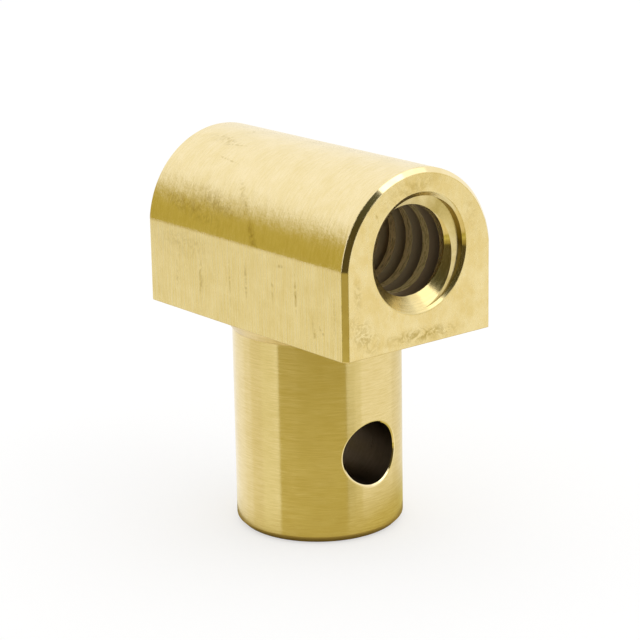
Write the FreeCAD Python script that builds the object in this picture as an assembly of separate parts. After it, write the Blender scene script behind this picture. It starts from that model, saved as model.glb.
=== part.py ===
import FreeCAD, Part
import math
import os

# A lead screw nut, turned and milled from one piece of brass.
# A round stem stands under a head with a half-round top, and a left-hand
# trapezoidal thread runs the whole length of the head. A plain hole crosses
# the stem, parallel to the thread.
# The origin is the middle of the stem's end face. +Z runs up the stem, and the
# thread and the cross hole run along Y. All sizes are in millimetres.

# Head. The crown is turned first and the sides are milled a little into it, so
# that they meet it at a faint edge. The crown's middle lies the crown height
# over the shoulder.
HEAD_WIDTH = 30.5
HEAD_LENGTH = 51.0
CROWN_HEIGHT = 12.65
SIDE_MILLING_DEPTH = 0.08
HEAD_EDGE_CHAMFER = 0.8

# Stem
STEM_DIAMETER = 27.75
STEM_LENGTH = 35.2
STEM_END_CHAMFER = 1.0
SHOULDER_FLARE_HEIGHT = 1.8
SHOULDER_FLARE_REACH = 1.3

# Cross hole through the stem
CROSS_HOLE_DIAMETER = 10.5
CROSS_HOLE_HEIGHT = 14.25
CROSS_HOLE_CHAMFER = 0.25

# Screw that runs in the head, and the room that the nut leaves round it
SCREW_DIAMETER = 18.0
THREAD_PITCH = 4.0
THREAD_FLANK_ANGLE = 15.0
BORE_CLEARANCE = 0.175
ROOT_CLEARANCE = 0.175
SCREW_AXIS_HEIGHT = 14.7

# Where the groove's middle lies behind the front face, on the bore's +X side
GROOVE_START_DEPTH = 0.71

# Countersink at both ends of the thread
COUNTERSINK_LIP = 0.475
COUNTERSINK_ANGLE = 90.0

# How far the cutting tools run past the surfaces that they cut
TOOL_OVERRUN = 2.0
GROOVE_TOOL_OVERLAP = 0.4

# How closely an edge or a face is matched when it is looked up
EDGE_TOLERANCE = 0.01

# Quarter turns of the bore's wall, so that each crest face is short and its
# middle lies on the crest
BORE_SECTORS = 4
FULL_TURN = 360.0

X_AXIS = FreeCAD.Vector(1, 0, 0)
Y_AXIS = FreeCAD.Vector(0, 1, 0)
Z_AXIS = FreeCAD.Vector(0, 0, 1)
ORIGIN = FreeCAD.Vector(0, 0, 0)

# Sizes that follow from the ones above
half_width = HEAD_WIDTH / 2
half_length = HEAD_LENGTH / 2
stem_radius = STEM_DIAMETER / 2
crown_radius = half_width + SIDE_MILLING_DEPTH
crown_centre_z = STEM_LENGTH + CROWN_HEIGHT
screw_axis_z = STEM_LENGTH + SCREW_AXIS_HEIGHT
bore_radius = (SCREW_DIAMETER - THREAD_PITCH) / 2 + BORE_CLEARANCE
root_radius = SCREW_DIAMETER / 2 + ROOT_CLEARANCE
mouth_radius = root_radius + COUNTERSINK_LIP


def head_blank():
    """A bar of the head's section, as tall as the whole nut, with its end edges chamfered."""
    crown_start = FreeCAD.Vector(0, -half_length, crown_centre_z)
    crown = Part.makeCylinder(crown_radius, HEAD_LENGTH, crown_start, Y_AXIS)
    crown = crown.makeChamfer(HEAD_EDGE_CHAMFER, [edge for edge in crown.Edges if is_end_circle(edge)])

    body_corner = FreeCAD.Vector(-crown_radius, -half_length, 0)
    body = Part.makeBox(2 * crown_radius, HEAD_LENGTH, crown_centre_z, body_corner)

    milled_corner = FreeCAD.Vector(-half_width, -half_length, 0)
    milled_height = crown_centre_z + crown_radius + TOOL_OVERRUN
    milled = Part.makeBox(HEAD_WIDTH, HEAD_LENGTH, milled_height, milled_corner)
    milled = milled.makeChamfer(HEAD_EDGE_CHAMFER, [edge for edge in milled.Edges if is_upright(edge)])
    return crown.fuse(body).common(milled).removeSplitter()


def is_end_circle(edge):
    """Whether an edge of the crown is the circle round one of its ends."""
    return edge.BoundBox.YLength < EDGE_TOLERANCE


def is_upright(edge):
    """Whether an edge of the milled block stands at one of its corners."""
    return edge.BoundBox.ZLength > EDGE_TOLERANCE


def turned_away():
    """The ring that turning takes off the bar: it leaves the stem, its flare and its end chamfer."""
    clear_radius = math.hypot(half_width, half_length) + TOOL_OVERRUN
    # The stem's wall has a point at the cross hole's height, which makes two
    # faces of it, so that the middle of each is clear of the hole.
    section = Part.Face(Part.makePolygon([
        FreeCAD.Vector(clear_radius, 0, -TOOL_OVERRUN),
        FreeCAD.Vector(stem_radius - STEM_END_CHAMFER - TOOL_OVERRUN, 0, -TOOL_OVERRUN),
        FreeCAD.Vector(stem_radius, 0, STEM_END_CHAMFER),
        FreeCAD.Vector(stem_radius, 0, CROSS_HOLE_HEIGHT),
        FreeCAD.Vector(stem_radius, 0, STEM_LENGTH - SHOULDER_FLARE_HEIGHT),
        FreeCAD.Vector(stem_radius + SHOULDER_FLARE_REACH, 0, STEM_LENGTH),
        FreeCAD.Vector(clear_radius, 0, STEM_LENGTH),
        FreeCAD.Vector(clear_radius, 0, -TOOL_OVERRUN),
    ]))
    return section.revolve(ORIGIN, Z_AXIS, FULL_TURN)


def bore_sectors():
    """The plain bore that the thread is cut in, as equal sectors."""
    start = FreeCAD.Vector(0, -half_length - TOOL_OVERRUN, screw_axis_z)
    length = HEAD_LENGTH + 2 * TOOL_OVERRUN
    sector_angle = FULL_TURN / BORE_SECTORS
    sectors = []
    for number in range(BORE_SECTORS):
        sector = Part.makeCylinder(bore_radius, length, start, Y_AXIS, sector_angle)
        sector.rotate(start, Y_AXIS, number * sector_angle)
        sectors.append(sector)
    return sectors


def countersink(face_y, outward):
    """The cone that opens one end of the bore; outward is +1 or -1 along Y."""
    slope = math.tan(math.radians(COUNTERSINK_ANGLE / 2))
    depth = (mouth_radius - bore_radius) / slope
    small_end = FreeCAD.Vector(0, face_y - outward * (depth + TOOL_OVERRUN), screw_axis_z)
    small_radius = bore_radius - TOOL_OVERRUN * slope
    wide_radius = mouth_radius + TOOL_OVERRUN * slope
    height = depth + 2 * TOOL_OVERRUN
    return Part.makeCone(small_radius, wide_radius, height, small_end, Y_AXIS * outward)


def thread_groove():
    """The left-hand groove: a trapezoid swept along a helix that runs past both end faces."""
    pitch_line_radius = SCREW_DIAMETER / 2 - THREAD_PITCH / 4
    slope = math.tan(math.radians(THREAD_FLANK_ANGLE))
    inner_radius = bore_radius - GROOVE_TOOL_OVERLAP
    inner_half = THREAD_PITCH / 4 + (pitch_line_radius - inner_radius) * slope
    root_half = THREAD_PITCH / 4 - (root_radius - pitch_line_radius) * slope

    turns = math.ceil(HEAD_LENGTH / THREAD_PITCH) + 2
    path = Part.makeLongHelix(THREAD_PITCH, turns * THREAD_PITCH, bore_radius, 0, True)
    section = Part.makePolygon([
        FreeCAD.Vector(inner_radius, 0, -inner_half),
        FreeCAD.Vector(root_radius, 0, -root_half),
        FreeCAD.Vector(root_radius, 0, root_half),
        FreeCAD.Vector(inner_radius, 0, inner_half),
        FreeCAD.Vector(inner_radius, 0, -inner_half),
    ])
    groove = path.makePipeShell([section], True, True)

    groove.rotate(ORIGIN, X_AXIS, -90)
    groove.translate(FreeCAD.Vector(0, GROOVE_START_DEPTH - THREAD_PITCH - half_length, screw_axis_z))
    return groove


def cross_hole():
    """The drill that crosses the stem, parallel to the thread."""
    start = FreeCAD.Vector(0, -stem_radius - TOOL_OVERRUN, CROSS_HOLE_HEIGHT)
    length = STEM_DIAMETER + 2 * TOOL_OVERRUN
    return Part.makeCylinder(CROSS_HOLE_DIAMETER / 2, length, start, Y_AXIS)


def is_cross_hole_wall(face):
    """Whether a face is the drilled wall of the cross hole."""
    if not isinstance(face.Surface, Part.Cylinder):
        return False
    return abs(face.Surface.Radius - CROSS_HOLE_DIAMETER / 2) < EDGE_TOLERANCE


def cross_hole_rims(body):
    """The two curved edges where the cross hole comes out of the stem."""
    walls = [face for face in body.Faces if is_cross_hole_wall(face)]
    return [edge for wall in walls for edge in wall.Edges if not isinstance(edge.Curve, Part.Line)]


def lead_screw_nut():
    """The whole nut, as one solid."""
    nut = head_blank().cut(turned_away())
    nut = nut.cut(cross_hole())
    nut = nut.makeChamfer(CROSS_HOLE_CHAMFER, cross_hole_rims(nut))
    nut = nut.cut(bore_sectors())
    nut = nut.cut([countersink(-half_length, -1), countersink(half_length, 1)])
    nut = nut.cut(thread_groove())
    return nut.Solids[0]


os.makedirs("parts", exist_ok=True)
nut = lead_screw_nut()
nut.exportStep("parts/lead_screw_nut.step")
print("volume", round(nut.Volume, 1), "valid", nut.isValid(), "faces", len(nut.Faces))
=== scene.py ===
import math

import bmesh
import bpy
from mathutils import Matrix, Vector


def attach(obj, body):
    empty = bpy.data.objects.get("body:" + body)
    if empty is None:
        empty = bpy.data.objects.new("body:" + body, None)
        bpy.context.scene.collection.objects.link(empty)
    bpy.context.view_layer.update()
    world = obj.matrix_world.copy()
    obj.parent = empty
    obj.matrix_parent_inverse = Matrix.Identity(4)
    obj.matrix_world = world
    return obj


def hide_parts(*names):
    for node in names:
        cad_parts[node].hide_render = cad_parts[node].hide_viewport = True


# A lead screw nut machined from one piece of brass. It is built here again
# over the CAD solid, with finer curves and softly broken edges. The sizes are the
# same, apart from the bevel of the cross hole, which is rounded and a little larger.
# All sizes are in metres. +Z runs up the stem, and the thread runs along Y.

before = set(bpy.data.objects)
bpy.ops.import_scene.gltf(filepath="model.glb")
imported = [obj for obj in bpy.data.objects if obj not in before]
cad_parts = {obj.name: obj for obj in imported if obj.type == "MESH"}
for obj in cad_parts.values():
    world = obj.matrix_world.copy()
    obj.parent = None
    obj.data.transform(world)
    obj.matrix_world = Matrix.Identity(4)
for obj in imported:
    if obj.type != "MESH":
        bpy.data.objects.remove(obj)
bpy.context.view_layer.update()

MM = 0.001

# Head
HEAD_WIDTH = 30.5 * MM
HEAD_LENGTH = 51.0 * MM
CROWN_RADIUS = 15.33 * MM
CROWN_CENTRE = 47.85 * MM
END_CHAMFER = 0.8 * MM

# Stem
STEM_RADIUS = 13.875 * MM
STEM_LENGTH = 35.2 * MM
STEM_CHAMFER = 1.0 * MM
FLARE_HEIGHT = 1.8 * MM
FLARE_REACH = 1.3 * MM

# Cross hole
CROSS_HOLE_RADIUS = 5.25 * MM
CROSS_HOLE_HEIGHT = 14.25 * MM
# The bevel of its mouths: how far out from the hole's wall and how far down from the stem's wall
RIM_OUTLINE = [(0.0, 0.30 * MM), (0.22 * MM, 0.08 * MM), (0.42 * MM, 0.0)]

# Thread and its countersinks
SCREW_AXIS = 49.9 * MM
PITCH = 4.0 * MM
CREST_RADIUS = 7.175 * MM
ROOT_RADIUS = 9.175 * MM
GROOVE_HALF_AT_CREST = 1.221 * MM
GROOVE_HALF_AT_ROOT = 0.685 * MM
GROOVE_START_DEPTH = 0.71 * MM
MOUTH_RADIUS = 9.65 * MM

# Softly broken edges, and the strip of each side that lies next to the crown
EDGE_BREAK = 0.12 * MM
FOOT_BREAK = 0.2 * MM
BREAK_SEGMENTS = 2
JUNCTION_STRIP = 0.5 * MM

# How far the cutting tools run past what they cut
OVERRUN = 2.0 * MM

# How near counts as touching, and how near counts as the same point
TOUCHING = 0.002 * MM
SAME_POINT = TOUCHING / 4

# How far a facet's middle may lie off the true curve in the bore, the cross hole and the stem
BORE_SAG = 0.02 * MM
HOLE_SAG = 0.01 * MM
STEM_SAG = 0.008 * MM

# How much of a face's normal lies along an axis, for a face that is square to it. A side needs
# the closer one, because the crown's lowest facets are nearly upright too.
SQUARE = 0.99
SIDE_SQUARE = 0.9999

# The same along Y, for the faces of a 45 degree chamfer and of a 45 degree cone
CHAMFER_FACING = (0.6, 0.8)
CONE_FACING = (0.5, 0.85)

# How much of a normal points down, for a face that leans down a little and for one that faces down
LEANING_DOWN = 0.1
FACING_DOWN = 0.5

# Steps round the curves
ROUND_STEPS = 288
THREAD_STEPS = 120
SCREEN_STEPS = 24
DISC_STEPS = 96
FULL_TURN = math.radians(360)

# Corners flatter than the first are shaded smooth, and seams flatter than the second are dissolved
SMOOTH_ANGLE = math.radians(7)
SEAM_ANGLE = math.radians(0.05)

half_width = HEAD_WIDTH / 2
half_length = HEAD_LENGTH / 2
shoulder = STEM_LENGTH


# Modelling by hand, in code

def all_deselected():
    """Leaves edit mode and deselects everything, so that an operator acts on one piece alone."""
    if bpy.context.object and bpy.context.object.mode != "OBJECT":
        bpy.ops.object.mode_set(mode="OBJECT")
    bpy.ops.object.select_all(action="DESELECT")


def only_selected(piece):
    """Makes one piece the only selected one, and the active one."""
    all_deselected()
    bpy.context.view_layer.objects.active = piece
    piece.select_set(True)


def named(name):
    """Names the piece that was just added."""
    piece = bpy.context.object
    piece.name = name
    piece.data.name = name
    return piece


def edit(piece):
    """Opens a piece in edit mode, with nothing selected."""
    only_selected(piece)
    bpy.ops.object.mode_set(mode="EDIT")
    bpy.ops.mesh.select_all(action="DESELECT")


def pick(kind, test):
    """Selects the vertices, edges or faces of the open piece that pass a test on their place or normal."""
    bpy.ops.mesh.select_mode(type={"verts": "VERT", "edges": "EDGE", "faces": "FACE"}[kind])
    bpy.ops.mesh.select_all(action="DESELECT")
    shape = bmesh.from_edit_mesh(bpy.context.object.data)
    for element in getattr(shape, kind):
        if test(element):
            element.select_set(True)
    shape.select_flush_mode()
    bmesh.update_edit_mesh(bpy.context.object.data)


def near(value, wanted):
    """Whether two lengths are the same, as far as the mesh goes."""
    return abs(value - wanted) < TOUCHING


def broken(width):
    """Breaks the selected edges with a soft bevel."""
    bpy.ops.mesh.bevel(offset=width, segments=BREAK_SEGMENTS, affect="EDGES")


def outline(name, points):
    """An open line through points, drawn by extruding one vertex from each to the next."""
    all_deselected()
    bpy.ops.mesh.primitive_plane_add(size=MM, location=(0, 0, 0))
    piece = named(name)
    edit(piece)
    bpy.ops.mesh.select_all(action="SELECT")
    bpy.ops.mesh.merge(type="CENTER")
    bpy.ops.mesh.select_mode(type="VERT")
    bpy.ops.mesh.select_all(action="SELECT")
    bpy.ops.transform.translate(value=points[0])
    for start, end in zip(points, points[1:]):
        step = Vector(end) - Vector(start)
        bpy.ops.mesh.extrude_vertices_move(TRANSFORM_OT_translate={"value": step})
    return piece


def closed_up(piece):
    """Merges doubled vertices and turns all faces outwards."""
    edit(piece)
    bpy.ops.mesh.select_all(action="SELECT")
    bpy.ops.mesh.remove_doubles(threshold=SAME_POINT)
    bpy.ops.mesh.normals_make_consistent(inside=False)
    all_deselected()


def applied(piece, kind, **settings):
    """Adds a modifier with its settings to a piece and applies it."""
    only_selected(piece)
    modifier = piece.modifiers.new(kind.lower(), kind)
    for name, value in settings.items():
        setattr(modifier, name, value)
    bpy.ops.object.modifier_apply(modifier=modifier.name)


def cut_or_joined(piece, tool, operation):
    """Cuts a tool's shape out of a piece, or joins the two."""
    applied(piece, "BOOLEAN", object=tool, operation=operation, solver="EXACT")
    bpy.data.objects.remove(tool)


def placed(piece):
    """Puts the piece's place and turn into its mesh."""
    only_selected(piece)
    bpy.ops.object.transform_apply(location=True, rotation=True, scale=True)
    return piece


# The nut

def head():
    """The bar: a round crown over straight sides, with chamfered ends and a softly broken lower border."""
    all_deselected()
    bpy.ops.mesh.primitive_cylinder_add(
        vertices=ROUND_STEPS,
        radius=CROWN_RADIUS,
        depth=HEAD_LENGTH,
        location=(0, 0, CROWN_CENTRE),
        rotation=(math.radians(90), 0, 0),
    )
    bar = placed(named("nut"))

    edit(bar)
    bpy.ops.mesh.select_all(action="SELECT")
    bpy.ops.mesh.bisect(
        plane_co=(0, 0, CROWN_CENTRE),
        plane_no=(0, 0, 1),
        use_fill=True,
        clear_inner=True,
        threshold=SAME_POINT,
    )
    pick("faces", lambda face: face.normal.z < -SQUARE)
    drop = shoulder - CROWN_CENTRE
    bpy.ops.mesh.extrude_region_move(TRANSFORM_OT_translate={"value": (0, 0, drop)})
    for side in (1, -1):
        bpy.ops.mesh.select_all(action="SELECT")
        bpy.ops.mesh.bisect(
            plane_co=(side * half_width, 0, 0),
            plane_no=(side, 0, 0),
            use_fill=True,
            clear_outer=True,
            threshold=SAME_POINT,
        )
    bpy.ops.mesh.select_all(action="SELECT")
    bpy.ops.mesh.remove_doubles(threshold=TOUCHING)
    bpy.ops.mesh.dissolve_limited(angle_limit=SEAM_ANGLE)

    # A narrow strip under the crown lets the shading turn softly from crown to side
    junction = CROWN_CENTRE + math.sqrt(CROWN_RADIUS ** 2 - half_width ** 2)
    pick("faces", lambda face: abs(face.normal.x) > SIDE_SQUARE)
    bpy.ops.mesh.bisect(
        plane_co=(0, 0, junction - JUNCTION_STRIP),
        plane_no=(0, 0, 1),
        threshold=SAME_POINT,
    )

    pick("edges", is_end_edge)
    bpy.ops.mesh.bevel(offset=END_CHAMFER, segments=1, affect="EDGES")
    pick("edges", is_chamfer_edge)
    broken(EDGE_BREAK)
    pick("edges", is_shoulder_edge)
    broken(EDGE_BREAK)
    closed_up(bar)
    return bar


def is_shoulder_edge(edge):
    """Whether an edge lies at the height of the head's lower border."""
    return all(near(vertex.co.z, shoulder) for vertex in edge.verts)


def is_end_edge(edge):
    """Whether an edge goes up a side or over the crown of one end."""
    start, end = edge.verts
    in_end_face = near(abs(start.co.y), half_length) and near(start.co.y, end.co.y)
    return in_end_face and not is_shoulder_edge(edge)


def is_chamfer_edge(edge):
    """Whether an edge runs along one side of an end chamfer, and not across it or along the lower border."""
    start, end = edge.verts
    if not near(start.co.y, end.co.y) or is_shoulder_edge(edge):
        return False
    from_end = half_length - abs(start.co.y)
    return near(from_end, 0) or near(from_end, END_CHAMFER)


def stem():
    """The stem and its flare, turned from an outline."""
    inside_head = STEM_LENGTH + OVERRUN
    flare_radius = STEM_RADIUS + FLARE_REACH
    piece = outline("stem", [
        (0, 0, 0),
        (STEM_RADIUS - STEM_CHAMFER, 0, 0),
        (STEM_RADIUS, 0, STEM_CHAMFER),
        (STEM_RADIUS, 0, STEM_LENGTH - FLARE_HEIGHT),
        (flare_radius, 0, STEM_LENGTH),
        (flare_radius, 0, inside_head),
        (0, 0, inside_head),
    ])
    bpy.ops.mesh.select_all(action="SELECT")
    bpy.ops.mesh.spin(steps=ROUND_STEPS, angle=FULL_TURN, center=(0, 0, 0), axis=(0, 0, 1))
    closed_up(piece)
    edit(piece)
    pick("edges", is_foot_edge)
    broken(FOOT_BREAK)
    all_deselected()
    return piece


def is_foot_edge(edge):
    """Whether an edge is part of a circle at either side of the stem's end chamfer."""
    start, end = edge.verts
    low = max(start.co.z, end.co.z) < STEM_CHAMFER + TOUCHING
    return low and near(start.co.z, end.co.z) and math.hypot(start.co.x, start.co.y) > STEM_RADIUS / 2


def cross_drill():
    """The drill that crosses the stem. Its ends widen to a softened bevel that follows the stem's wall."""
    widest = CROSS_HOLE_RADIUS + RIM_OUTLINE[-1][0]
    clear = STEM_RADIUS + OVERRUN
    half = [
        *[(CROSS_HOLE_RADIUS + out, STEM_RADIUS - down) for out, down in RIM_OUTLINE],
        (widest, clear),
        (0, clear),
    ]
    piece = outline("cross_drill", [(x, -y, 0) for x, y in reversed(half)] + [(x, y, 0) for x, y in half])
    bpy.ops.mesh.select_all(action="SELECT")
    bpy.ops.mesh.spin(steps=ROUND_STEPS // 2, angle=FULL_TURN, center=(0, 0, 0), axis=(0, 1, 0))
    closed_up(piece)
    for vertex in piece.data.vertices:
        if abs(vertex.co.y) < clear - TOUCHING:
            fall = STEM_RADIUS - math.sqrt(STEM_RADIUS ** 2 - vertex.co.x ** 2)
            vertex.co.y -= math.copysign(fall, vertex.co.y)
        vertex.co.z += CROSS_HOLE_HEIGHT
    closed_up(piece)
    return piece


def thread_plug():
    """The space that a left-hand trapezoidal screw takes: one pitch of its outline, wound along the bore."""
    turns = math.ceil(HEAD_LENGTH / PITCH) + 3
    first = GROOVE_START_DEPTH - 2 * PITCH - half_length
    piece = outline("thread_plug", [
        (CREST_RADIUS, first + GROOVE_HALF_AT_CREST - PITCH, 0),
        (CREST_RADIUS, first - GROOVE_HALF_AT_CREST, 0),
        (ROOT_RADIUS, first - GROOVE_HALF_AT_ROOT, 0),
        (ROOT_RADIUS, first + GROOVE_HALF_AT_ROOT, 0),
        (CREST_RADIUS, first + GROOVE_HALF_AT_CREST, 0),
    ])
    applied(
        piece,
        "SCREW",
        axis="Y",
        angle=-FULL_TURN,
        screw_offset=PITCH,
        iterations=turns,
        steps=THREAD_STEPS,
        render_steps=THREAD_STEPS,
        use_smooth_shade=False,
    )
    middle = sum(vertex.co.y for vertex in piece.data.vertices) / len(piece.data.vertices)
    edit(piece)
    bpy.ops.mesh.select_all(action="SELECT")
    bpy.ops.mesh.remove_doubles(threshold=SAME_POINT)
    for end in (-1, 1):
        pick("edges", lambda edge: edge.is_boundary and end * (edge.verts[0].co.y - middle) > 0)
        bpy.ops.mesh.extrude_edges_move(TRANSFORM_OT_translate={"value": (0, end * PITCH / 8, 0)})
        bpy.ops.mesh.merge(type="CENTER")
    bpy.ops.mesh.select_all(action="SELECT")
    bpy.ops.mesh.normals_make_consistent(inside=False)
    bpy.ops.transform.translate(value=(0, 0, SCREW_AXIS))
    all_deselected()
    return piece


def countersink(end):
    """The cone that opens one end of the bore; end is 1 or -1 along Y."""
    depth = MOUTH_RADIUS - CREST_RADIUS + 2 * OVERRUN
    all_deselected()
    bpy.ops.mesh.primitive_cone_add(
        vertices=ROUND_STEPS,
        radius1=MOUTH_RADIUS + OVERRUN,
        radius2=CREST_RADIUS - OVERRUN,
        depth=depth,
        location=(0, end * (half_length + OVERRUN - depth / 2), SCREW_AXIS),
        rotation=(math.radians(end * 90), 0, 0),
    )
    return placed(named("countersink"))


def lead_screw_nut():
    """The whole nut, as one mesh."""
    nut = head()
    cut_or_joined(nut, stem(), "UNION")
    cut_or_joined(nut, cross_drill(), "DIFFERENCE")
    cut_or_joined(nut, thread_plug(), "DIFFERENCE")
    for end in (-1, 1):
        cut_or_joined(nut, countersink(end), "DIFFERENCE")
    edit(nut)
    pick("edges", is_mouth_edge)
    broken(EDGE_BREAK)
    closed_up(nut)
    return nut


def is_mouth_edge(edge):
    """Whether an edge is part of the circle where a countersink opens in an end face."""
    for vertex in edge.verts:
        from_bore = math.hypot(vertex.co.x, vertex.co.z - SCREW_AXIS)
        if not near(abs(vertex.co.y), half_length) or abs(from_bore - MOUTH_RADIUS) > BORE_SAG:
            return False
    return True


# Finishes

# Stains, and how deep the scuffs under them are
STAIN = "#B89F52"
SCUFF_DEPTH = 0.006 * MM

# How far the roughness strays from its middle, as a share of it
ROUGHNESS_SPREAD = 0.15

# The oily layer that cutting left in the bore, by the distance from the nut's middle. Its colour turns from
# the deep one to the mouth's one between the first two, and it thins out between the last two. The deep
# colour is painted paler: painted light that makes up for the light falling off deep in the bore.
OIL_AND_PAINTED_LIGHT_DEEP = 8 * MM
OIL_AND_PAINTED_LIGHT_SHALLOW = 21 * MM
OIL_WHOLE = 20.5 * MM
OIL_GONE = 23 * MM
OIL_METALLIC = 0.35


def linear(colour):
    """A colour written as sRGB hex, as the linear values that a shader takes."""
    channels = [int(colour[place:place + 2], 16) / 255 for place in (1, 3, 5)]
    return [c / 12.92 if c <= 0.04045 else ((c + 0.055) / 1.055) ** 2.4 for c in channels] + [1.0]


def node(tree, kind, settings=None, **inputs):
    """Adds a node. Settings are its own properties. Inputs are values or sockets to link, by socket name,
    or by _ and the socket's number where its name won't do."""
    added = tree.nodes.new(kind)
    for name, value in (settings or {}).items():
        setattr(added, name, value)
    for name, value in inputs.items():
        numbered = name[0] == "_" and name[1:].isdigit()
        socket = added.inputs[int(name[1:]) if numbered else name.replace("_", " ")]
        if isinstance(value, bpy.types.NodeSocket):
            tree.links.new(value, socket)
        else:
            socket.default_value = value
    return added


def empty_material(name):
    """A material with no nodes in it yet, and its node tree."""
    material = bpy.data.materials.new(name)
    material.use_nodes = True
    material.node_tree.nodes.clear()
    return material, material.node_tree


def worn(tree, place, scuffs):
    """A mask of broken-up scuffs. Each runs from one point to another, in millimetres, with a width and
    a depth."""
    mask = None
    for start, end, width, depth in scuffs:
        start, end = Vector(start), Vector(end)
        along = end - start
        turn = along.to_track_quat("Z", "Y").to_euler()
        reach = along.length / 2 + width
        spot_place = node(tree, "ShaderNodeMapping", {"vector_type": "TEXTURE"},
                          Vector=place.outputs["Object"], Location=(start + end) / 2 * MM, Rotation=turn,
                          Scale=Vector((width, width, reach)) * MM)
        away = node(tree, "ShaderNodeVectorMath", {"operation": "LENGTH"}, _0=spot_place.outputs["Vector"])
        spot = node(tree, "ShaderNodeMapRange", Value=away.outputs["Value"], From_Min=1.0, From_Max=0.2,
                    To_Max=depth)
        if mask:
            larger = node(tree, "ShaderNodeMath", {"operation": "MAXIMUM"}, _0=mask,
                          _1=spot.outputs["Result"])
            mask = larger.outputs["Value"]
        else:
            mask = spot.outputs["Result"]
    flecks = node(tree, "ShaderNodeTexNoise", Vector=place.outputs["Object"], Scale=0.7 / MM, Detail=3.0,
                  Roughness=0.6, Distortion=1.5)
    patches = node(tree, "ShaderNodeMapRange", Value=flecks.outputs["Fac"], From_Min=0.42, From_Max=0.62)
    kept = node(tree, "ShaderNodeMath", {"operation": "MULTIPLY"}, _0=mask, _1=patches.outputs["Result"])
    return kept.outputs["Value"]


def machined_brass(name, colour, shade, roughness, grain, smear=(0, 1, 0), anisotropy=0.0, bump=0.002,
                   cloudy=0.0, blotches=0.5, film_and_painted_light=None, scuffs=()):
    """Bare brass, in two tones that lie close together. Grain is how many marks there are per millimetre
    along X, Y and Z, and bump is how deep they are in millimetres.
    Smear is the way across the marks, in which they draw a reflection out.
    Cloudy is how deep the surface's slower waves are, also in millimetres.
    Blotches is the share of the colour that follows slow clouds, and the rest follows the marks.
    The film argument gives the colours of the dull, oily layer that cutting left inside a hole, near its
    mouth and deep down. The deep one is painted paler: painted light that makes up for the light falling off
    deep in the hole."""
    material, tree = empty_material(name)
    place = node(tree, "ShaderNodeTexCoord")
    marks_place = node(tree, "ShaderNodeMapping", Vector=place.outputs["Object"],
                       Scale=[step / MM for step in grain])
    marks = node(tree, "ShaderNodeTexNoise", Vector=marks_place.outputs["Vector"], Scale=1.0, Detail=4.0,
                 Roughness=0.6)
    cloud = node(tree, "ShaderNodeTexNoise", Vector=place.outputs["Object"], Scale=0.25 / MM, Detail=5.0,
                 Roughness=0.65)
    both = node(tree, "ShaderNodeMix", _0=blotches, _2=marks.outputs["Fac"], _3=cloud.outputs["Fac"])
    tone = node(tree, "ShaderNodeMapRange", Value=both.outputs["Result"], From_Min=0.39, From_Max=0.61)
    tint = node(tree, "ShaderNodeMix", {"data_type": "RGBA"}, _0=tone.outputs["Result"], _6=linear(shade),
                _7=linear(colour))
    metal = tint.outputs[2]
    metallic = 1.0
    rough = node(tree, "ShaderNodeMapRange", Value=marks.outputs["Fac"], From_Min=0.3, From_Max=0.7,
                 To_Min=roughness * (1 - ROUGHNESS_SPREAD), To_Max=roughness * (1 + ROUGHNESS_SPREAD))
    height = node(tree, "ShaderNodeBump", Height=marks.outputs["Fac"], Strength=1.0, Distance=bump * MM)
    if cloudy:
        height = node(tree, "ShaderNodeBump", Height=cloud.outputs["Fac"], Strength=1.0, Distance=cloudy * MM,
                      Normal=height.outputs["Normal"])
    if scuffs:
        wear = worn(tree, place, scuffs)
        stained = node(tree, "ShaderNodeMix", {"data_type": "RGBA"}, _0=wear, _6=metal, _7=linear(STAIN))
        metal = stained.outputs[2]
        height = node(tree, "ShaderNodeBump", {"invert": True}, Height=wear, Strength=1.0,
                      Distance=SCUFF_DEPTH, Normal=height.outputs["Normal"])
    if film_and_painted_light:
        apart = node(tree, "ShaderNodeSeparateXYZ", Vector=place.outputs["Object"])
        from_middle = node(tree, "ShaderNodeMath", {"operation": "ABSOLUTE"}, _0=apart.outputs["Y"])
        # The oily layer's colour turns paler deeper in: painted light for the light that falls off deep in a
        # hole
        depth = node(tree, "ShaderNodeMapRange", Value=from_middle.outputs["Value"], From_Min=OIL_AND_PAINTED_LIGHT_DEEP,
                     From_Max=OIL_AND_PAINTED_LIGHT_SHALLOW, To_Min=1.0, To_Max=0.0)
        oil_and_painted_light = node(tree, "ShaderNodeMix", {"data_type": "RGBA"}, _0=depth.outputs["Result"],
                   _6=linear(film_and_painted_light[0]), _7=linear(film_and_painted_light[1]))
        inside = node(tree, "ShaderNodeMapRange", Value=from_middle.outputs["Value"], From_Min=OIL_WHOLE,
                      From_Max=OIL_GONE, To_Min=1.0, To_Max=0.0)
        filmed_and_painted_light = node(tree, "ShaderNodeMix", {"data_type": "RGBA"}, _0=inside.outputs["Result"], _6=metal,
                      _7=oil_and_painted_light.outputs[2])
        metal = filmed_and_painted_light.outputs[2]
        bare = node(tree, "ShaderNodeMapRange", Value=inside.outputs["Result"], To_Min=1.0,
                    To_Max=OIL_METALLIC)
        metallic = bare.outputs["Result"]
    across = node(tree, "ShaderNodeCombineXYZ", X=smear[0], Y=smear[1], Z=smear[2])
    surface = node(tree, "ShaderNodeBsdfPrincipled", Base_Color=metal, Metallic=metallic,
                   Roughness=rough.outputs["Result"], Anisotropic=anisotropy, Normal=height.outputs["Normal"],
                   Tangent=across.outputs["Vector"])
    node(tree, "ShaderNodeOutputMaterial", Surface=surface.outputs["BSDF"])
    return material


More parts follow.
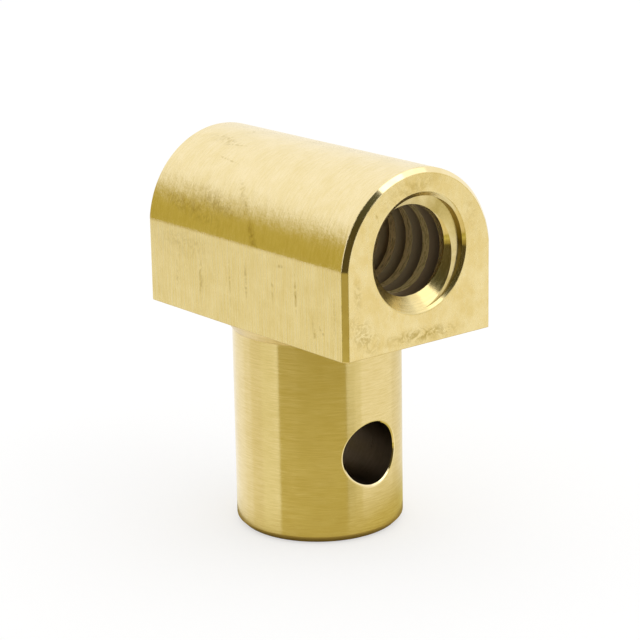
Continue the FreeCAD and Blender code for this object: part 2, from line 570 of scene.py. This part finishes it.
# Scuffs and stains as the photo shows them, in millimetres: from where to where, how wide and how deep
CROWN_SCUFFS = [
    ((-4.8, 20.2, 62.4), (-5.7, 12.0, 62.1), 1.5, 0.45),
    ((-6.4, 16.5, 61.8), (-5.4, 9.0, 62.2), 0.25, 0.6),
    ((-8.6, 14.1, 60.5), (-9.3, 7.4, 60.0), 0.25, 0.7),
    ((-11.4, 4.5, 58.2), (-14.3, -1.2, 53.3), 1.0, 0.55),
    ((-14.3, -1.2, 53.3), (-15.3, -4.3, 48.3), 1.0, 0.75),
    ((-13.2, 16.0, 55.6), (-14.2, 0.0, 53.6), 2.2, 0.45),
    ((-14.0, 22.0, 54.0), (-14.9, 6.0, 51.5), 1.8, 0.5),
    ((-0.7, 14.8, 63.2), (-0.7, 14.4, 63.2), 0.3, 1.0),
]
SIDE_SCUFFS = [
    ((-15.3, -19.0, 40.1), (-15.3, -20.7, 38.4), 0.35, 1.0),
    ((-15.3, -17.8, 41.2), (-15.3, -18.4, 36.0), 0.5, 0.6),
    ((-15.3, -1.0, 47.6), (-15.3, -1.3, 39.0), 0.45, 0.7),
    ((-15.3, 10.9, 45.0), (-15.3, 10.9, 37.5), 0.8, 0.6),
    ((-15.3, -13.5, 47.4), (-15.3, -13.8, 40.5), 0.4, 0.9),
    ((-15.3, -7.8, 46.5), (-15.3, -8.0, 41.0), 0.4, 0.5),
    ((-15.3, -9.2, 47.5), (-15.3, -11.2, 47.6), 0.35, 0.8),
    ((-15.3, 22.0, 46.5), (-15.3, 8.0, 46.5), 3.0, 0.3),
    ((-15.3, 3.2, 48.0), (-15.3, 3.0, 37.0), 0.3, 0.5),
    ((-15.3, 17.5, 44.0), (-15.3, 17.3, 38.0), 0.5, 0.45),
    ((-15.3, -23.0, 46.0), (-15.3, -23.2, 38.0), 0.4, 0.5),
]
END_SCUFFS = [
    ((-13.3, -25.5, 39.2), (-13.1, -25.5, 38.2), 0.35, 0.8),
    ((-8.8, -25.5, 57.4), (-8.5, -25.5, 56.2), 0.35, 0.8),
    ((-13.4, -25.5, 41.0), (-9.6, -25.5, 36.6), 2.6, 0.6),
    ((-8.0, -25.5, 37.0), (9.0, -25.5, 36.6), 1.5, 0.8),
    ((-12.9, -25.5, 48.0), (-12.4, -25.5, 43.0), 1.0, 0.4),
    ((-8.5, -25.5, 58.5), (4.0, -25.5, 61.5), 2.2, 0.4),
    ((9.5, -25.5, 57.5), (11.5, -25.5, 52.0), 1.8, 0.25),
]

FINISHES = {
    # Milled with the cutter's side: fine upright marks draw reflections out level, and the flat
    # shows one pale golden tone with thin lines and stains
    "side": machined_brass("brass, side milled", "#FAE8B2", "#EAD492", 0.26, (1, 5.0, 0.12), anisotropy=0.7,
                           bump=0.003, blotches=0.35, scuffs=SIDE_SCUFFS),
    # Milled with the cutter's end: swirled marks too fine to show one by one leave an even satin
    "end": machined_brass("brass, end milled", "#FBE9B6", "#EFD899", 0.26, (0.9, 0.9, 0.5), bump=0.008,
                          cloudy=0.04, blotches=0.6, scuffs=END_SCUFFS),
    # Turned round the crown: marks run round it, and slow waves make the edges of its reflections uneven
    "crown": machined_brass("brass, crown turned", "#FBE9B8", "#F3DFA5", 0.22, (0.45, 2.4, 0.45),
                            anisotropy=0.6, bump=0.035, cloudy=0.13, scuffs=CROWN_SCUFFS),
    # Turned on a lathe: fine level rings draw reflections out upright, so the stem shows upright bands
    "stem": machined_brass("brass, stem turned", "#F2DEA8", "#E4CE90", 0.18, (0.3, 0.3, 6.0), smear=(0, 0, 1),
                           anisotropy=0.85, bump=0.001, blotches=0.3),
    # The lower edge of the head, where a burr was rubbed off: a little duller than the faces beside it, and
    # darker in colour, which is painted shade under the head's border
    "foot_edge_painted_shade": machined_brass("brass, foot edge, painted shade", "#E0C885", "#C9AD68", 0.32, (0.8, 0.8, 0.8)),
    # Cut with a sharp form tool: nearly a mirror, which goes from a dark arc to a bright glint
    "chamfer": machined_brass("brass, chamfer cut", "#FBE9B8", "#F5E2AC", 0.09, (0.5, 0.5, 0.5), bump=0.0005),
    # Turned with light tool marks round the cone: reflections fan out into bright and dark wedges
    "countersink": machined_brass("brass, countersunk", "#EBD9A0", "#DCC88C", 0.17, (0.1, 5, 0.1),
                                  anisotropy=0.9, bump=0.02),
    # Turned in the corner under the head, with a coarser feed: a little duller than the stem
    "flare": machined_brass("brass, flare turned", "#E8CF8C", "#CDB168", 0.25, (0.3, 0.3, 2)),
    # Bored wall that the tap left between its grooves: satin, golden near the mouth and oily further in, and
    # painted paler deep down as painted light
    "crest": machined_brass("brass, thread crest", "#D9C388", "#BDA86C", 0.28, (0.6, 3, 0.6), bump=0.004,
                            film_and_painted_light=("#BDAA72", "#E8D09A")),
    # Floor of the groove, where cutting oil stayed: dull brown, and painted paler deep down as painted light
    "root": machined_brass("brass, thread root", "#A8985E", "#8A7C48", 0.30, (0.6, 3, 0.6),
                           film_and_painted_light=("#6C5C42", "#D0BA8E")),
    # Sides of the groove, wiped by the tap: brighter than its floor at the mouth, and brown inside, painted
    # paler deep down as painted light
    "thread": machined_brass("brass, thread flank", "#EBD8A2", "#D6C184", 0.22, (0.6, 0.6, 0.6), bump=0.003,
                             film_and_painted_light=("#72614A", "#C2AE84")),
    # Drilled, with drill marks round the wall: a dull, dark brown metal, whose darkness is painted shade
    # inside the hole
    "cross_hole": machined_brass("brass, drilled", "#8C8174", "#7E7467", 0.32, (0.3, 2, 0.3), bump=0.002),
}


def finish_of(face):
    """The finish of a face, by where it lies and which way it faces."""
    x, y, z = face.center
    at_border = abs(x) > half_width - EDGE_BREAK or abs(y) > half_length - EDGE_BREAK
    # The downward faces of the head's lower border get a darker colour: painted shade under the head
    if at_border and abs(z - shoulder) < EDGE_BREAK and -SQUARE < face.normal.z < -LEANING_DOWN:
        return "foot_edge_painted_shade"
    along_y = abs(face.normal.y)
    from_bore = math.hypot(x, z - SCREW_AXIS)
    from_hole = math.hypot(x, z - CROSS_HOLE_HEIGHT)
    if along_y > SQUARE and near(abs(y), half_length):
        return "end"
    if z < shoulder - EDGE_BREAK:
        under_wall = math.hypot(x, y) < STEM_RADIUS - STEM_SAG
        if from_hole < CROSS_HOLE_RADIUS + HOLE_SAG:
            return "cross_hole"
        if under_wall and from_hole < CROSS_HOLE_RADIUS + 2 * RIM_OUTLINE[-1][0]:
            return "chamfer"
        if z > shoulder - FLARE_HEIGHT:
            return "flare"
        return "stem"
    if from_bore < MOUTH_RADIUS + TOUCHING:
        if CONE_FACING[0] < along_y < CONE_FACING[1] or abs(y) > half_length - EDGE_BREAK:
            return "countersink"
        if from_bore > ROOT_RADIUS - BORE_SAG:
            return "root"
        return "crest" if from_bore < CREST_RADIUS + BORE_SAG else "thread"
    if CHAMFER_FACING[0] < along_y < CHAMFER_FACING[1]:
        return "chamfer"
    if along_y >= CHAMFER_FACING[1]:
        return "end"
    if abs(face.normal.x) > SIDE_SQUARE:
        return "side"
    if face.normal.z < -FACING_DOWN:
        return "end"
    return "crown"


def finished(piece):
    """Gives each face of a piece its finish, and shades the curves smooth."""
    names = list(FINISHES)
    piece.data.materials.clear()
    for name in names:
        piece.data.materials.append(FINISHES[name])
    for face in piece.data.polygons:
        face.material_index = names.index(finish_of(face))
    only_selected(piece)
    bpy.ops.object.shade_smooth_by_angle(angle=SMOOTH_ANGLE)


nut = lead_screw_nut()
finished(nut)
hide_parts("lead_screw_nut")
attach(nut, "root")


# Studio. Turns are in degrees from +X towards +Y, and elevations in degrees as seen from the nut's
# middle. In the photo's view its side reflects a turn of about 127 and its end one of about 309.

SCREEN_DISTANCE = 0.7
SCREEN_MIDDLE = 30 * MM

SOFTBOX_HEIGHT = 0.3
SOFTBOX_RISE = 56
SOFTBOX_DISTANCE = 0.8

# The floor lies just under the nut. Its share of plain white leaves the nut's shadow to show.
FLOOR_SIZE = 6.0
FLOOR_DROP = 0.05 * MM
FLOOR_WHITE_SHARE = 0.55

# The disc of painted shadow under the nut, and the wider disc of painted shade that fades out round its foot;
# only reflections see them
SHADOW_RADIUS = 16.5 * MM
SHADOW_DROP = 0.04 * MM
SHADE_RADIUS = 40 * MM
SHADE_DROP = 0.045 * MM
SHADE_MIDDLE = (5.1 * MM, -6.1 * MM, 0)
SHADE_FULL = 14 * MM
SHADE_GONE = 32 * MM


def plain(name, colour):
    """A dull material of one colour."""
    material = bpy.data.materials.new(name)
    material.use_nodes = True
    surface = material.node_tree.nodes["Principled BSDF"]
    surface.inputs["Base Color"].default_value = linear(colour)
    surface.inputs["Roughness"].default_value = 0.9
    surface.inputs["Specular IOR Level"].default_value = 0.0
    return material


def white_table():
    """The floor's material. Rays from the camera, glossy rays and rays through glass see it partly as
    plain white, so that the background is white and still shows the nut's shadow."""
    material = plain("white table", "#FFFFFF")
    tree = material.node_tree
    seen = node(tree, "ShaderNodeLightPath")
    glossy = node(tree, "ShaderNodeMath", {"operation": "MAXIMUM"}, _0=seen.outputs["Is Glossy Ray"],
                  _1=seen.outputs["Is Transmission Ray"])
    direct = node(tree, "ShaderNodeMath", {"operation": "MAXIMUM"}, _0=seen.outputs["Is Camera Ray"],
                  _1=glossy.outputs["Value"])
    share = node(tree, "ShaderNodeMath", {"operation": "MULTIPLY"}, _0=direct.outputs["Value"],
                 _1=FLOOR_WHITE_SHARE)
    white = node(tree, "ShaderNodeEmission", Color=linear("#FFFFFF"), Strength=1.0)
    both = node(tree, "ShaderNodeMixShader", _0=share.outputs["Value"],
                _1=tree.nodes["Principled BSDF"].outputs["BSDF"], _2=white.outputs["Emission"])
    tree.links.new(both.outputs["Shader"], tree.nodes["Material Output"].inputs["Surface"])
    return material


def fading_shade():
    """The wider disc's material: a painted shade that glows in one even tone round the nut's foot and turns
    clear further out, which the stem's lower part shows in its reflections.
    """
    material, tree = empty_material("painted shade round the nut's foot")
    place = node(tree, "ShaderNodeTexCoord")
    away = node(tree, "ShaderNodeVectorMath", {"operation": "DISTANCE"}, _0=place.outputs["Object"],
                _1=SHADE_MIDDLE)
    depth = node(tree, "ShaderNodeMapRange", Value=away.outputs["Value"], From_Min=SHADE_FULL,
                 From_Max=SHADE_GONE, To_Min=1.0, To_Max=0.0)
    clear = node(tree, "ShaderNodeBsdfTransparent")
    glow = node(tree, "ShaderNodeEmission", Color=linear("#CBC07C"), Strength=1.0)
    both = node(tree, "ShaderNodeMixShader", _0=depth.outputs["Result"], _1=clear.outputs["BSDF"],
                _2=glow.outputs["Emission"])
    node(tree, "ShaderNodeOutputMaterial", Surface=both.outputs["Shader"])
    return material


def for_reflections(piece):
    """Hides a piece of the studio from the camera, from diffuse light and from shadows."""
    piece.visible_camera = False
    piece.visible_diffuse = False
    piece.visible_shadow = False


def disc(name, radius, drop):
    """A flat disc round the middle of the nut's foot, a little below it."""
    all_deselected()
    bpy.ops.mesh.primitive_circle_add(
        vertices=DISC_STEPS,
        radius=radius,
        fill_type="NGON",
        location=(0, 0, -drop),
    )
    return placed(named(name))


def studio_height(elevation):
    """How high over the nut's middle a screen's point of that elevation is, in degrees seen from the nut."""
    return SCREEN_DISTANCE * math.tan(math.radians(elevation))


def screen(name, from_turn, to_turn, bands):
    """A cloth screen that only reflections see, curved round the nut between two turns, in degrees.
    Its bands are elevations in degrees with the colour there, from the lowest up."""
    middle = Vector((0, 0, SCREEN_MIDDLE))
    turn = math.radians(from_turn)
    side = Vector((SCREEN_DISTANCE * math.cos(turn), SCREEN_DISTANCE * math.sin(turn), 0))
    lowest, highest = studio_height(bands[0][0]), studio_height(bands[-1][0])
    cloth = outline(name, [middle + side + Vector((0, 0, z)) for z in (lowest, highest)])
    bpy.ops.mesh.select_all(action="SELECT")
    sweep = math.radians(from_turn - to_turn)
    bpy.ops.mesh.spin(steps=SCREEN_STEPS, angle=sweep, center=middle, axis=(0, 0, 1))
    all_deselected()

    material, tree = empty_material(name)
    place = node(tree, "ShaderNodeTexCoord")
    apart = node(tree, "ShaderNodeSeparateXYZ", Vector=place.outputs["Object"])
    height = node(tree, "ShaderNodeMapRange", Value=apart.outputs["Z"], From_Min=SCREEN_MIDDLE + lowest,
                  From_Max=SCREEN_MIDDLE + highest)
    bands_ramp = node(tree, "ShaderNodeValToRGB", _0=height.outputs["Result"])
    ramp = bands_ramp.color_ramp
    while len(ramp.elements) < len(bands):
        ramp.elements.new(0.5)
    for element, (elevation, colour) in zip(ramp.elements, bands):
        element.position = (studio_height(elevation) - lowest) / (highest - lowest)
        element.color = linear(colour)
    glow = node(tree, "ShaderNodeEmission", Color=bands_ramp.outputs["Color"], Strength=1.0)
    node(tree, "ShaderNodeOutputMaterial", Surface=glow.outputs["Emission"])
    cloth.data.materials.append(material)

    for_reflections(cloth)


def softbox(name, turn, width, energy):
    """A soft lamp over the nut, facing it. The turn is in degrees."""
    data = bpy.data.lights.new(name, "AREA")
    data.shape = "RECTANGLE"
    data.size = width
    data.size_y = SOFTBOX_HEIGHT
    data.energy = energy
    lamp = bpy.data.objects.new(name, data)
    bpy.context.scene.collection.objects.link(lamp)
    turn, rise = math.radians(turn), math.radians(SOFTBOX_RISE)
    way = Vector((math.cos(turn) * math.cos(rise), math.sin(turn) * math.cos(rise), math.sin(rise)))
    lamp.location = Vector((0, 0, SCREEN_MIDDLE)) + way * SOFTBOX_DISTANCE
    lamp.rotation_euler = way.to_track_quat("Z", "Y").to_euler()
    lamp.visible_camera = False


all_deselected()
bpy.ops.mesh.primitive_plane_add(size=FLOOR_SIZE, location=(0, 0, -FLOOR_DROP))
floor = named("floor")
floor.data.materials.append(white_table())
floor.visible_glossy = False

# Painted shadow: a dull olive disc under the nut that only reflections see, so that the foot's edges show a
# dark table there
foot_shadow = disc("foot_shadow", SHADOW_RADIUS, SHADOW_DROP)
foot_shadow.data.materials.append(plain("painted shadow under the nut", "#A89A62"))
for_reflections(foot_shadow)

# Painted shade: a glowing disc round the foot that only reflections see, which darkens the stem's lower part
# towards olive
foot_shade = disc("foot_shade", SHADE_RADIUS, SHADE_DROP)
foot_shade.data.materials.append(fading_shade())
for_reflections(foot_shade)

# The lower part of both front screens, which gives the stem its darker bands
FRONT_BANDS = [
    (-62, "#F0E4BC"),
    (-27, "#F0E4BC"),
    (-25.5, "#BFB561"),
    (-22, "#BFB561"),
    (-19.5, "#DFD78A"),
    (-18, "#D9D084"),
    (-15.5, "#B0A15E"),
    (-10.2, "#AA9C5B"),
    (-9.0, "#574E30"),
]
screen("front_side_screen", 176.3, 203, [
    *FRONT_BANDS,
    (-1.0, "#574E30"),
])
screen("front_screen", 203, 268.8, [
    *FRONT_BANDS,
    (24, "#4F4727"),
    (44, "#4F4D37"),
    (60, "#5E5F4C"),
])
screen("front_right_screen", 268.8, 282, [
    (-62, "#F0E4BC"),
    (-34, "#A89E54"),
    (-22, "#A89E54"),
    (-18.5, "#F6F2D6"),
    (-8, "#F3F2D9"),
])
screen("middle_right_screen", 282, 292, [
    (-62, "#F4ECD0"),
    (-34, "#CBC38E"),
    (-22, "#CBC38E"),
    (-18.5, "#F7F4DE"),
    (-8, "#F5F4E0"),
])
screen("right_screen", 292, 350, [
    (-62, "#FAF8EC"),
    (-13, "#FAF8EC"),
    (-3, "#E6DFBC"),
    (8, "#DDD5AC"),
    (14, "#FFFFFF"),
])
screen("front_left_screen", 147.8, 176.3, [
    (-62, "#F2EDC8"),
    (-10, "#F5F3DC"),
])
screen("side_rear_screen", 112, 127.5, [
    (-62, "#F8F6EC"),
    (-12, "#F8F6EC"),
])
screen("side_screen", 127.5, 147.8, [
    (-62, "#EEE9D0"),
    (-12, "#EEE9D0"),
])
screen("far_right_screen", 350, 400, [
    (-62, "#EFEBDA"),
    (-8, "#EFEBDA"),
])
screen("back_screen", 95, 172, [
    (-10, "#BAAC59"),
    (14, "#BAAC59"),
    (30, "#FFFFFF"),
])

softbox("wide_softbox", 312, 0.75, 0.25)
softbox("narrow_softbox", 294, 0.36, 0.19)

world = bpy.data.worlds.new("white studio")
bpy.context.scene.world = world
world.use_nodes = True
world.node_tree.nodes["Background"].inputs["Color"].default_value = linear("#FFFFFF")
world.node_tree.nodes["Background"].inputs["Strength"].default_value = 1.0

# Camera, at the photograph's place
LENS = 127.88
AZIMUTH = -39.169
ELEVATION = 15.9745
ROLL = -1.003
DISTANCE = 372.17 * MM
AIM = Vector((0, 0, 34.67 * MM))
AIM_RIGHT = -0.5473 * MM
AIM_UP = 0.7867 * MM

camera_data = bpy.data.cameras.new("camera")
camera = bpy.data.objects.new("camera", camera_data)
bpy.context.scene.collection.objects.link(camera)
turned = (
    Matrix.Rotation(math.radians(AZIMUTH), 4, "Z")
    @ Matrix.Rotation(math.radians(90 - ELEVATION), 4, "X")
    @ Matrix.Rotation(math.radians(ROLL), 4, "Z")
)
camera.matrix_world = (
    Matrix.Translation(AIM) @ turned @ Matrix.Translation(Vector((-AIM_RIGHT, -AIM_UP, DISTANCE)))
)
camera_data.lens = LENS
camera_data.sensor_width = 36.0
camera_data.clip_start = 10 * MM
camera_data.clip_end = 10.0
bpy.context.scene.camera = camera
bpy.context.scene.view_settings.view_transform = "Standard"
